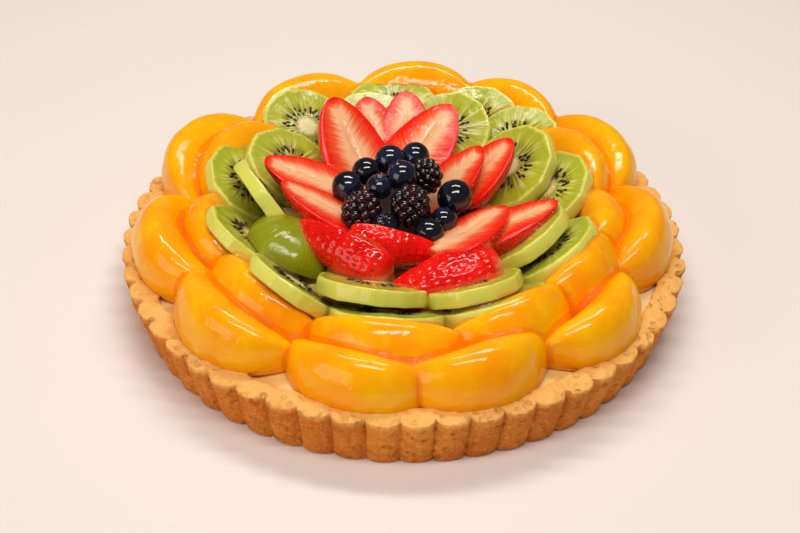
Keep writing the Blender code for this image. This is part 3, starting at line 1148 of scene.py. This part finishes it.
@dataclass
class Kiwi(Fruit):
    """A peeled slice: a disc with the flats that a knife leaves round its edge."""

    uneven: Sizes = ((0.45, 11.0), (0.12, 3.0))
    radius: float = 21.0
    thickness: float = 6.4
    flats: int = 10
    flatness: float = 0.65
    oval: float = 0.025
    around: int = 108
    face_rings: int = 20
    rim_rings: int = 13
    core_rise: float = 0.35
    seed_rings: tuple[tuple[float, int], ...] = ((0.33, 15), (0.42, 20), (0.5, 12))
    missing_seeds: float = 0.12
    seed_size: Triple = (0.68, 1.35, 0.58)

    def outline(self, angle: np.ndarray) -> np.ndarray:
        """Draw the edge round the slice, with its flats softened.

        Args:
            angle: Angles round the slice.

        Returns:
            The radius at each angle.
        """
        rng = np.random.default_rng(self.seed)
        step = math.tau / self.flats
        phase = (angle + rng.uniform(0, step)) % step - step / 2
        flat = math.cos(step / 2) / np.cos(phase)
        oval = 1 + self.oval * np.cos(2 * angle + rng.uniform(0, math.tau))
        return self.radius * oval * (1 - self.flatness + self.flatness * flat) * 1.01

    def shape(self) -> Shaped:
        """Shape the slice, with a raised core and a sunken ring on its upper face.

        Returns:
            The skin, with the share of the radius at each point and the slice's own mark.
        """
        angle = np.linspace(0.0, math.tau, self.around, endpoint=False)
        half = self.thickness / 2
        face = np.linspace(0.06, 0.93, self.face_rings)
        lean = np.linspace(-1, 1, self.rim_rings)
        rim = 0.955 + 0.045 * np.cos(lean * math.pi / 2) ** 0.6
        shares = np.concatenate([face, rim, face[::-1]])
        heights = np.concatenate([np.full(self.face_rings, -half), half * np.sin(lean * math.pi / 2),
                                  np.full(self.face_rings, half)])
        core = self.core_rise * np.exp(-(shares / 0.2) ** 2) - 0.25 * np.exp(-((shares - 0.4) / 0.14) ** 2)
        heights = heights + np.where(heights >= half, core, 0.0)
        rows = circles(shares[:, None] * self.outline(angle), heights[:, None], angle)
        share = np.broadcast_to(shares[:, None], rows.shape[:2])
        rings = Rings(rows, np.array([0, 0, -half]), np.array([0, 0, half + self.core_rise]))
        rings.swell(self.skin(rings))
        return rings, {"edge": np.append(share.ravel(), [0.0, 0.0]), "mark": np.array(self.seed % 97 / 97)}

    def seed_poses(self) -> list[np.ndarray]:
        """Lay the seeds round the core, pointing outwards from it.

        Returns:
            A pose for each seed.
        """
        rng = np.random.default_rng(self.seed + 700)
        pose = np.array(self.lay.matrix())
        up = np.array([0.0, 0.0, 1.0])
        wide, long, thick = self.seed_size
        poses = []
        for ring, count in self.seed_rings:
            for step in range(count):
                if rng.random() < self.missing_seeds:
                    continue
                angle = math.tau * (step + rng.uniform(-0.3, 0.3)) / count
                reach = self.radius * (ring + rng.uniform(-0.03, 0.03))
                way = np.array([math.sin(angle), -math.cos(angle), 0.0])
                spot = way * reach + up * (self.thickness / 2 + rng.uniform(-0.35, 0.0))
                length = rng.uniform(0.85, 1.15)
                poses.append(pose @ standing(spot, up, way, (wide, long * length, thick)))
        return poses


@dataclass
class KiwiEnd(Fruit):
    """The rounded end of a peeled kiwi, with the long flats of the knife."""

    ending: str = "_dome"
    uneven: Sizes = ((0.3, 9.0),)
    radius: float = 21.0
    height: float = 15.0
    sunk: float = 0.4
    flats: int = 9
    flatness: float = 0.7
    around: int = 126
    cut_shares: tuple[float, ...] = (0.4, 0.8, 0.985)

    def shape(self) -> Shaped:
        """Shape the end.

        Returns:
            The skin, all of it marked as the fruit's outside.
        """
        angle = np.linspace(0.0, math.tau, self.around, endpoint=False)
        step = math.tau / self.flats
        flat = math.cos(step / 2) / np.cos(angle % step - step / 2)
        edge = self.radius * (1 - self.flatness + self.flatness * flat)
        lean = np.radians(np.linspace(2, 86, 34))
        shares = np.concatenate([self.cut_shares, np.cos(lean)])
        rise = np.concatenate([np.zeros(len(self.cut_shares)), np.sin(lean)])
        rows = circles(shares[:, None] * edge, (self.height * (rise - self.sunk))[:, None], angle)
        rings = Rings(rows, np.array([0, 0, -self.sunk * self.height]),
                      np.array([0, 0, (1 - self.sunk) * self.height]))
        rings.swell(self.skin(rings))
        return rings, {"edge": np.full(len(rings.flat()), 0.86), "mark": np.array(0.3)}


@dataclass
class Strawberry(Fruit):
    """Half a strawberry: flat cut face up, rounded pitted back below, tip outwards."""

    ending: str = "_half"
    uneven: Sizes = ((0.55, 13.0), (0.15, 4.0))
    length: float = 40.0
    width: float = 29.0
    depth: float = 12.0
    face_height: float = 0.3
    fullness: float = 1.585
    tip_power: float = 0.55
    stalk_power: float = 0.22
    around: int = 96
    along: int = 84
    back_steps: int = 48
    face_steps: int = 30
    rounding: int = 8
    achene_gap: float = 3.3
    achene_size: Triple = (0.34, 0.56, 0.3)
    pit_depth: float = 0.55
    pit_radius: float = 0.85
    slit_depth: float = 0.9
    slit_reach: float = 11.0

    def spread(self, share: float) -> float:
        """Share of the full width, from 0 at the stalk end to 1 at the tip."""
        return self.fullness * (1 - share) ** self.tip_power * share ** self.stalk_power

    def back_point(self, share: float, angle: float) -> np.ndarray:
        """A point of the rounded back, at an angle from pi to 2 pi across it."""
        reach = self.spread(share)
        return np.array([self.width / 2 * reach * math.cos(angle), self.length * (share - 0.5),
                         self.depth * (reach * math.sin(angle) + self.face_height)])

    def achenes(self) -> tuple[np.ndarray, np.ndarray]:
        """Spread the achenes over the back in staggered rows.

        Returns:
            Their places and the directions that they face.
        """
        rng = np.random.default_rng(self.seed + 31)
        spots, ways = [], []
        rows = round(self.length / self.achene_gap)
        for row in range(1, rows):
            share = row / rows
            girth = math.pi * (self.width / 2 + self.depth) / 2 * self.spread(share)
            count = max(2, round(girth / self.achene_gap))
            for step in range(count):
                across = step + 0.5 + 0.5 * (row % 2) + rng.uniform(-0.12, 0.12)
                turn = math.pi * (1 + across / (count + 0.5))
                here = self.back_point(share, turn)
                side = self.back_point(share, turn + 0.02) - here
                along = self.back_point(min(0.995, share + 0.01), turn) - here
                way = np.cross(side, along)
                spots.append(here)
                ways.append(way / np.linalg.norm(way))
        return np.array(spots), -np.array(ways)

    def smooth(self) -> tuple[Rings, np.ndarray]:
        """Shape the half without its pits.

        Returns:
            The skin, and how far across the half each point is.
        """
        rows, acrosses = [], []
        spacing = 0.5 - 0.5 * np.cos(np.linspace(0.12, math.pi - 0.1, self.along))
        for share in np.clip(spacing, 0.004, 0.996):
            arc = np.linspace(math.pi, math.tau, self.back_steps)
            back = np.array([self.back_point(share, angle) for angle in arc])
            cut = np.linspace(back[-1, 0], back[0, 0], self.face_steps)[1:-1]
            level = np.broadcast_to([back[0, 1], self.depth * self.face_height], (len(cut), 2))
            corners = np.vstack([back, np.column_stack([cut, level])])
            section = even_section(corners, self.around, self.rounding)
            rows.append(section)
            acrosses.append(np.abs(section[:, 0]) / (self.width / 2 * self.spread(share)))
        rows = np.array(rows)
        tips = [rows[index].mean(axis=0) + [0, way * 0.25, 0] for index, way in ((0, -1), (-1, 1))]
        return Rings(rows, *tips), np.array(acrosses)

    def shape(self) -> Shaped:
        """Shape the half, with a slit in its face and a pit under each achene.

        Returns:
            The skin, with how far across and how much of the cut face each point is.
        """
        rings, across = self.smooth()
        flat = rings.rows.reshape(-1, 3)
        x, y, z = flat.T
        face = np.clip((z - self.depth * self.face_height + 1.2) / 0.9, 0, 1)
        stalk = np.clip(1 - (y + self.length / 2) / (0.12 * self.length), 0, 1)
        tip = np.clip((y / self.length - 0.34) / 0.14, 0, 1)
        slit = np.exp(-(x / 0.9) ** 2) * np.clip(1 - np.abs(y - 1.5) / self.slit_reach, 0, 1)
        gaps = np.linalg.norm(flat[:, None, :] - self.achenes()[0][None, :, :], axis=2)
        pits = (self.pit_depth * np.exp(-(gaps / self.pit_radius) ** 2)).sum(axis=1)
        rings.swell(self.skin(rings) - face * self.slit_depth * slit - pits * (1 - face))
        return rings, {
            "edge": np.append(np.maximum(across.ravel(), 0.85 * tip), [0.6, 1.0]),
            "face": np.append(np.maximum(face, 0.6 * stalk), [1.0, 0.0]),
            "mark": np.array(self.seed % 89 / 89),
        }

    def achene_poses(self) -> list[np.ndarray]:
        """Lay each achene lengthways along the berry, at the bottom of its pit.

        Returns:
            A pose for each achene.
        """
        pose = np.array(self.lay.matrix())
        lengthways = np.array([0.0, 1.0, 0.0])
        return [pose @ standing(spot - way * 0.4, way, lengthways, self.achene_size)
                for spot, way in zip(*self.achenes())]


@dataclass
class Blueberry:
    """A blueberry with its crown, a low ring of five lobes round a hollow."""

    lay: Lay
    crown_azimuth: float
    crown_lift: float
    seed: int
    radius: float = 6.6
    around: int = 70
    crown_rings: int = 22
    along: int = 44
    lobes: int = 5
    crown_lean: float = 0.36
    crown_width: float = 0.075
    hollow_depth: float = 0.085
    hollow_lean: float = 0.27
    squash: float = 0.05
    uneven: Sizes = ((0.12, 5.0),)

    def rings(self) -> Rings:
        """Build the skin, with the crown at the top.

        Returns:
            The skin.
        """
        angle = np.linspace(0.0, math.tau, self.around, endpoint=False)
        lean = np.concatenate([np.linspace(0.03, 0.62, self.crown_rings),
                               np.linspace(0.66, math.pi - 0.05, self.along)])[:, None]
        lobes = 0.5 + 0.5 * np.cos(self.lobes * angle)
        ring = np.exp(-((lean - self.crown_lean) / self.crown_width) ** 2) * (0.045 + 0.07 * lobes)
        hollow = self.hollow_depth * np.exp(-(lean / self.hollow_lean) ** 4)
        reach = self.radius * (1 + ring - hollow) * (1 - self.squash * np.cos(lean) ** 2)
        rows = np.stack([reach * np.sin(lean) * np.cos(angle), reach * np.sin(lean) * np.sin(angle),
                         reach * np.cos(lean)], 2)
        return Rings(rows, rows[0].mean(axis=0), rows[-1].mean(axis=0))

    def build(self, material: Material) -> Piece:
        """Build the berry, with its crown turned as given.

        Args:
            material: Its finish.

        Returns:
            The berry.
        """
        rings = self.rings()
        rings.swell(Unevenness(self.seed).mixed(rings.rows.reshape(-1, 3), self.uneven))
        azimuth, lift = math.radians(self.crown_azimuth), math.radians(self.crown_lift)
        level = math.cos(lift)
        crown = Vector((math.sin(azimuth) * level, -math.cos(azimuth) * level, math.sin(lift)))
        turned = crown.to_track_quat("Z", "Y").to_matrix().to_4x4()
        pose = (Matrix.Translation(self.lay.matrix().translation) @ turned
                @ Matrix.Scale(self.lay.size * MM, 4))
        return make_piece(self.lay.name, rings.flat(), rings.faces(), material, pose)


@dataclass
class Bramble:
    """A bramble: round drupelets packed over an egg-shaped core."""

    lay: Lay
    seed: int
    radius: float = 8.6
    lengthening: float = 1.12
    drupelets: int = 48
    bead: float = 2.25

    def build(self, material: Material) -> Piece:
        """Build the berry, its drupelets in a golden spiral.

        Args:
            material: Its finish.

        Returns:
            The berry.
        """
        rng = np.random.default_rng(self.seed)
        golden = math.pi * (3 - math.sqrt(5))
        poses = []
        for step in range(self.drupelets):
            height = 1 - 2 * (step + 0.5) / self.drupelets
            turn = golden * step
            out = np.array([math.cos(turn) * math.sqrt(1 - height ** 2),
                            math.sin(turn) * math.sqrt(1 - height ** 2), height])
            bead = self.bead * rng.uniform(0.88, 1.1)
            spot = out * (self.radius - bead * rng.uniform(0.82, 0.95))
            spot[2] *= self.lengthening
            poses.append(standing(spot, out, np.array([0.1, 0.2, 1.0]), (bead, bead, bead * 1.02)))
        core = np.diag([self.radius * 0.8, self.radius * 0.8, self.radius * 0.9, 1.0])
        points, faces = scatter(ball(3), poses + [core])
        made = make_piece(self.lay.name + "_fruit", points, faces, material, self.lay.matrix())
        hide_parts(self.lay.name)
        return made


@dataclass
class Grains:
    """Many small seeds in one piece."""

    name: str
    poses: list[np.ndarray] = field(default_factory=list)

    def build(self, material: Material, slot: Finish) -> Piece:
        """Build the grains at their poses.

        Args:
            material: Their finish.
            slot: Not used.

        Returns:
            The piece.
        """
        points, faces = scatter(ball(1), self.poses)
        made = make_piece(self.name, points, faces, material, Matrix.Identity(4))
        return made


# ---- glaze


def read_back(items: Any, key: str, width: int, kind: type = np.float32) -> np.ndarray:
    """Read a property of all vertices or edges of a mesh.

    Args:
        items: The vertices, edges or normals.
        key: The property's name.
        width: How many numbers it has.
        kind: The numbers' type.

    Returns:
        One row for each item.
    """
    store = np.empty(len(items) * width, kind)
    items.foreach_get(key, store)
    return store.reshape(-1, width)


@dataclass
class Glaze:
    """Glaze that has gathered in the creases between pieces of fruit.

    A skin is drawn over all the fruit and relaxed, so that it bridges the creases and
    sinks into the fruit elsewhere. Only the bridging parts are kept. All sizes are metres.
    """

    skin_step: float = 0.0011
    rounds: int = 14
    pull: float = 0.6
    least_fill: float = 0.00012
    lowest: float = 0.0255
    bare_middle: float = 0.034
    sunk: float = 0.0006

    def skin(self, fruit: list[Piece]) -> bpy.types.Mesh:
        """Draw one even skin over the fruit.

        Args:
            fruit: The pieces to cover.

        Returns:
            The skin.
        """
        points, faces, offset = [], [], 0
        for piece in fruit:
            points.append(read_back(piece.data.vertices, "co", 3))
            faces += [tuple(corner + offset for corner in face.vertices) for face in piece.data.polygons]
            offset += len(points[-1])
        joined = bpy.data.meshes.new("glaze_base")
        joined.from_pydata(np.vstack(points).tolist(), [], faces)
        draft = bpy.data.objects.new("glaze_base", joined)
        bpy.context.scene.collection.objects.link(draft)
        remesh = draft.modifiers.new("skin", "REMESH")
        remesh.mode = "VOXEL"
        remesh.voxel_size = self.skin_step
        graph = bpy.context.evaluated_depsgraph_get()
        skin = bpy.data.meshes.new_from_object(draft.evaluated_get(graph))
        bpy.data.objects.remove(draft)
        bpy.data.meshes.remove(joined)
        return skin

    def relaxed(self, spots: np.ndarray, edges: np.ndarray) -> np.ndarray:
        """Draw each point towards its neighbours, round after round.

        Args:
            spots: The skin's points.
            edges: The two ends of each edge.

        Returns:
            The points after the last round.
        """
        count = np.bincount(edges.ravel(), minlength=len(spots))[:, None]
        moved = spots.astype(float)
        for _ in range(self.rounds):
            total = np.zeros_like(moved)
            np.add.at(total, edges[:, 0], moved[edges[:, 1]])
            np.add.at(total, edges[:, 1], moved[edges[:, 0]])
            moved = (1 - self.pull) * moved + self.pull * total / np.maximum(count, 1)
        return moved

    def bridging(self, spots: np.ndarray, moved: np.ndarray, ways: np.ndarray,
                 polygons: Faces) -> np.ndarray:
        """Choose the points that bridge a crease and lie open to the sky.

        Args:
            spots: The skin's points.
            moved: The relaxed points.
            ways: The skin's outward directions.
            polygons: The skin's faces.

        Returns:
            Whether each point is chosen.
        """
        fill = np.einsum("ij,ij->i", moved - spots, ways)
        reach = np.hypot(moved[:, 0], moved[:, 1])
        kept = (fill > self.least_fill) & (moved[:, 2] > self.lowest) & (reach > self.bare_middle)
        tree = BVHTree.FromPolygons(spots.tolist(), polygons)
        for index in np.nonzero(kept)[0]:
            start = Vector(moved[index]) + Vector((0, 0, self.sunk))
            kept[index] = tree.ray_cast(start, Vector((0, 0, 1)))[0] is None
        return kept

    def build(self, fruit: list[Piece], material: Material) -> Piece:
        """Build the glaze.

        Args:
            fruit: The pieces that it lies on.
            material: Its finish.

        Returns:
            The glaze.
        """
        skin = self.skin(fruit)
        spots = read_back(skin.vertices, "co", 3)
        ways = read_back(skin.vertex_normals, "vector", 3)
        edges = read_back(skin.edges, "vertices", 2, np.int32)
        polygons = [tuple(face.vertices) for face in skin.polygons]
        bpy.data.meshes.remove(skin)
        moved = self.relaxed(spots, edges)
        kept = self.bridging(spots, moved, ways, polygons)
        final = np.where(kept[:, None], moved, spots - ways * self.sunk)
        chosen = [polygon for polygon in polygons if any(kept[list(polygon)])]
        used = sorted({corner for polygon in chosen for corner in polygon})
        renumber = {old: new for new, old in enumerate(used)}
        faces = [tuple(renumber[corner] for corner in polygon) for polygon in chosen]
        made = make_piece("glaze_creases", final[used] / MM, faces, material)
        return made


# ---- the studio


@dataclass(frozen=True)
class SoftBox:
    """A rectangular lamp that points at the tart."""

    name: str
    spot: Triple
    size: tuple[float, float]
    power: float
    colour: Triple = (1.0, 0.97, 0.93)
    aim: Triple = (0.0, 0.0, 0.03)

    def hang(self) -> None:
        """Put the lamp in its place."""
        data = bpy.data.lights.new(self.name, "AREA")
        data.shape = "RECTANGLE"
        data.size, data.size_y = self.size
        data.energy = self.power
        data.color = self.colour
        made = bpy.data.objects.new(self.name, data)
        made.location = self.spot
        made.rotation_euler = (Vector(self.aim) - Vector(self.spot)).to_track_quat("-Z", "Y").to_euler()
        bpy.context.scene.collection.objects.link(made)


@dataclass
class Studio:
    """A pale floor, two soft strips overhead, a weak fill and the camera."""

    camera_spot: Triple = (-0.0014, -0.5754, 0.4485)
    pitch: float = 37.4
    roll: float = 1.2
    lens: float = 72.0
    sensor: float = 36.0
    floor_size: float = 8.0
    floor_tone: Tone = tone(236, 226, 219)
    floor_shade: Tone = tone(224, 214, 207)
    sky_tone: Tone = tone(246, 240, 234)
    sky_strength: float = 0.16
    lamps: tuple[SoftBox, ...] = (
        SoftBox("strip_near", (0.03, -0.38, 1.0), (0.8, 0.14), 5.8),
        SoftBox("strip_far", (0.03, 0.34, 1.0), (0.8, 0.14), 5.8),
        SoftBox("fill_left", (-1.25, -0.95, 0.6), (1.3, 0.9), 8.5, (1.0, 0.94, 0.86)),
    )

    def floor(self) -> None:
        """Lay the floor."""
        half = self.floor_size / 2
        corners = [(-half, -half, 0), (half, -half, 0), (half, half, 0), (-half, half, 0)]
        mesh = bpy.data.meshes.new("floor")
        mesh.from_pydata(corners, [], [(0, 1, 2, 3)])
        paint = Paint("floor_paper", Roughness=0.9, Specular_IOR_Level=0.1)
        mottle = paint.noise(paint.place(), 3.0, 2.0)
        paint.feed("Base Color", paint.blend(mottle * 0.08, self.floor_tone, self.floor_shade))
        mesh.materials.append(paint.material)
        made = bpy.data.objects.new("floor", mesh)
        bpy.context.scene.collection.objects.link(made)

    def sky(self) -> None:
        """Surround the set with weak, even light."""
        world = bpy.data.worlds.new("studio")
        bpy.context.scene.world = world
        world.use_nodes = True
        backdrop = world.node_tree.nodes["Background"]
        backdrop.inputs["Color"].default_value = self.sky_tone
        backdrop.inputs["Strength"].default_value = self.sky_strength

    def camera(self) -> None:
        """Set the camera."""
        data = bpy.data.cameras.new("camera")
        data.lens = self.lens
        data.sensor_width = self.sensor
        made = bpy.data.objects.new("camera", data)
        pitch = math.radians(self.pitch)
        ahead = Vector((0, math.cos(pitch), -math.sin(pitch)))
        above = Vector((0, math.sin(pitch), math.cos(pitch)))
        frame = Matrix((Vector((1, 0, 0)), above, -ahead)).transposed().to_4x4()
        made.matrix_world = (Matrix.Translation(self.camera_spot) @ frame
                             @ Matrix.Rotation(math.radians(self.roll), 4, "Z"))
        bpy.context.scene.collection.objects.link(made)
        bpy.context.scene.camera = made

    def build(self) -> None:
        """Set up the whole studio."""
        bpy.context.scene.view_settings.view_transform = "Standard"
        self.floor()
        for lamp in self.lamps:
            lamp.hang()
        self.sky()
        self.camera()


# ---- the tart


def report(piece: Piece) -> Piece:
    """Log a piece's size and hand the piece on."""
    LOG.info("%s: %d faces", piece.name, len(piece.data.polygons))
    return piece


def build_slices() -> list[Piece]:
    """Build the peaches and the kiwis with their seeds.

    Returns:
        The pieces that glaze lies on.
    """
    peach = PeachFinish().make()
    fruit = [report(Peach(lay, 100 + index).build(peach))
             for index, lay in enumerate(OUTER_PEACHES + INNER_PEACHES)]
    kiwi = KiwiFinish().make()
    seeds = Grains("kiwi_seeds")
    for index, lay in enumerate(OUTER_KIWIS + INNER_KIWIS):
        piece = Kiwi(lay, 211 + 7 * index)
        fruit.append(report(piece.build(kiwi)))
        seeds.poses += piece.seed_poses()
    # side: the lighter tone that the kiwi finish paints near a rim, as painted light.
    olive = KiwiFinish("kiwi_end_glazed", flesh=tone(136, 142, 8), ray=tone(170, 172, 44),
                       side=tone(150, 152, 20))
    fruit.append(report(KiwiEnd(KIWI_END, 41).build(olive.make())))
    black = GrainFinish("seed_black", tone(18, 14, 10), tone(40, 28, 16))
    report(seeds.build(black.make(), Finish.KIWI))
    return fruit


def build_strawberries() -> list[Piece]:
    """Build the strawberries with their achenes.

    Returns:
        The strawberry halves.
    """
    red = StrawberryFinish().make()
    achenes = Grains("strawberry_achenes")
    fruit = []
    for index, lay in enumerate(STRAWBERRIES):
        half = Strawberry(lay, 300 + 11 * index)
        fruit.append(report(half.build(red)))
        achenes.poses += half.achene_poses()
    straw = GrainFinish("achene_straw", tone(206, 120, 40), tone(84, 26, 10))
    report(achenes.build(straw.make(), Finish.STRAWBERRY))
    return fruit


def build_berries() -> None:
    """Build the blueberries and the brambles."""
    navy = DarkBerryFinish("blueberry_skin", tone(8, 9, 20), tone(22, 27, 54), 90.0, 0.06).make()
    for index, (cluster, *place, size, azimuth, lift) in enumerate(BLUEBERRIES):
        lay = Lay(f"blueberry_{index + 1:02d}", *place, size=size)
        berry = report(Blueberry(lay, azimuth, lift, 400 + index).build(navy))
        if cluster:
            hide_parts(cluster)
    black = DarkBerryFinish("bramble_skin", tone(10, 5, 8), tone(54, 6, 18), 160.0, 0.08).make()
    for index, lay in enumerate(BRAMBLES):
        report(Bramble(lay, 500 + index).build(black))


def main() -> None:
    """Build the whole tart and its studio."""
    logging.basicConfig(level=logging.INFO, format="%(message)s")
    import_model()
    Studio().build()
    report(Crust().build(CrustFinish().make()))
    report(Custard().build(CustardFinish().make()))
    fruit = build_slices() + build_strawberries()
    build_berries()
    report(Glaze().build(fruit, GlazeFinish().make()))


if __name__ == "__main__":
    main()
